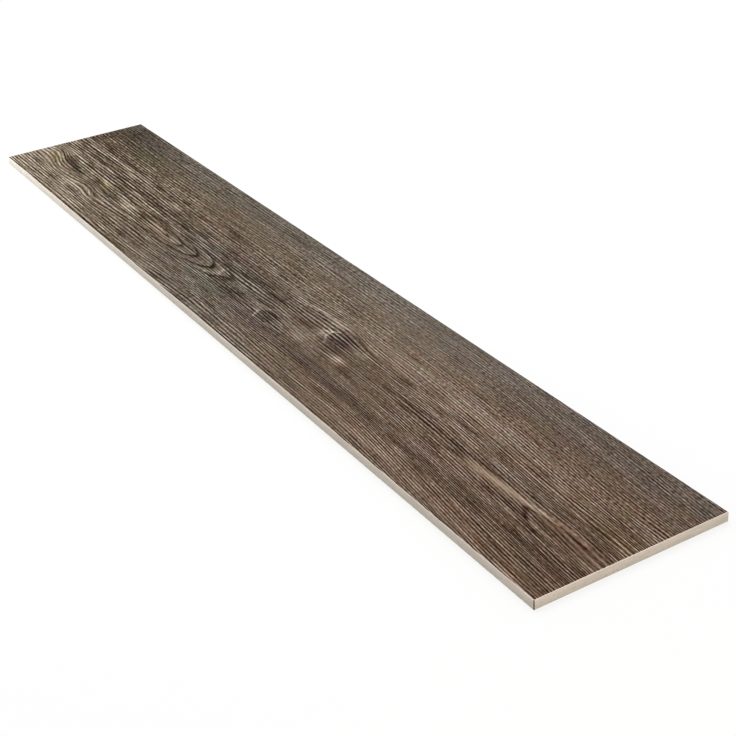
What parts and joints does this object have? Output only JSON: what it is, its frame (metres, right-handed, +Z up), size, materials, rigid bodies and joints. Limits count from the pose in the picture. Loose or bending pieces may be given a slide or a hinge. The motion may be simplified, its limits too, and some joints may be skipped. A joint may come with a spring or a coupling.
{
  "type": "porcelain tile",
  "caption": "Long rectangular porcelain floor or wall tile with a wood-grain glazed face, square ground edges and a back ribbed across its width.",
  "frame": {"origin": "middle of the bedding plane, which the ribs of the back stand on", "axes": "+X along the plank, +Y across it, +Z up from the back to the glazed face"},
  "size_m": [1.2, 0.2, 0.01],
  "materials": {
    "glazed_porcelain": "matt glaze printed and embossed as dark brown wood grain; bare greige body on the ground edges and the back"
  },
  "bodies": {
    "root": {"plank_tile": "glazed_porcelain"}
  },
  "joints": []
}
